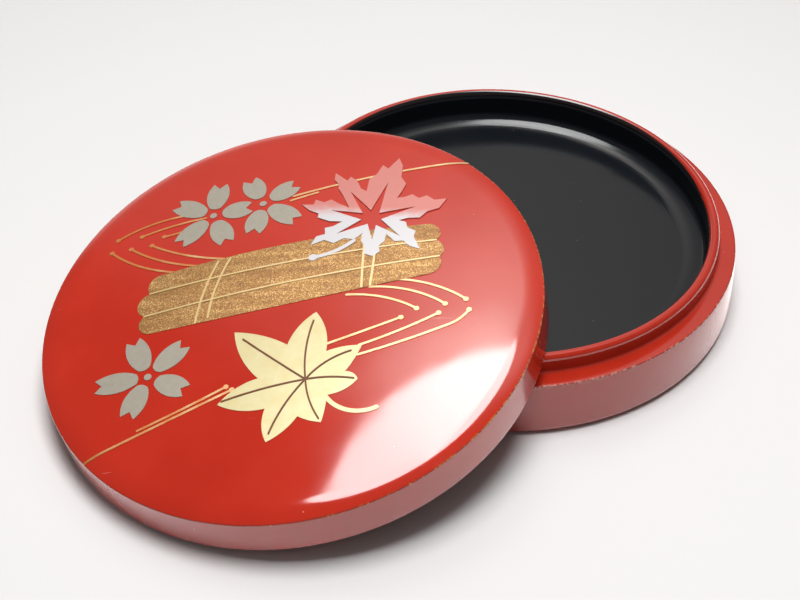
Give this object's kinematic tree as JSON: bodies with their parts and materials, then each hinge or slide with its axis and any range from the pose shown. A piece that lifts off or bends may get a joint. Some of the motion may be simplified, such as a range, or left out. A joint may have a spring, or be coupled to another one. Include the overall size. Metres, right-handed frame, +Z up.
{
  "type": "incense box",
  "caption": "Low round lacquer box with a turned base, a standing lip and a lift-off domed lid, shown with the lid taken off and leaning on the base.",
  "frame": {"origin": "centre of the base's underside, on the surface that the box stands on", "axes": "+Z up, along the base's axis; the lid lies off towards -X -Y, leaning on the base's lip"},
  "size_m": [0.1117, 0.1103, 0.024],
  "materials": {
    "turned_wood": "bare turned wood under the lacquer",
    "vermilion_lacquer": "polished vermilion lacquer",
    "black_lacquer": "polished black lacquer",
    "gold_powder": "coarse gold powder sprinkled into lacquer",
    "gold_line": "fine gold powder drawn with a brush",
    "silver_powder": "fine silver powder, matt and slightly grey",
    "bright_silver": "burnished silver powder",
    "pale_gold": "pale gold powder, burnished",
    "brown_lacquer": "red-brown lacquer line"
  },
  "bodies": {
    "base": {"base_core": "turned_wood", "base_red_coat": "vermilion_lacquer", "base_black_coat": "black_lacquer", "base_foot_coat": "black_lacquer"},
    "lid": {"lid_core": "turned_wood", "lid_red_coat": "vermilion_lacquer", "lid_black_coat": "black_lacquer", "raft_logs": "gold_powder", "raft_seams": "gold_line", "raft_lashings": "gold_line", "left_blossom": "silver_powder", "right_blossom": "silver_powder", "lower_blossom": "silver_powder", "silver_leaf": "bright_silver", "gold_leaf": "pale_gold", "gold_leaf_veins": "brown_lacquer", "upper_stream": "gold_line", "left_stream": "gold_line", "right_stream": "gold_line", "lower_stream": "gold_line"}
  },
  "joints": [
    {"name": "lid_lift", "type": "slide", "parent": "base", "child": "lid", "axis": [0, 0, 1], "range_m": [0, 0.06]}
  ]
}
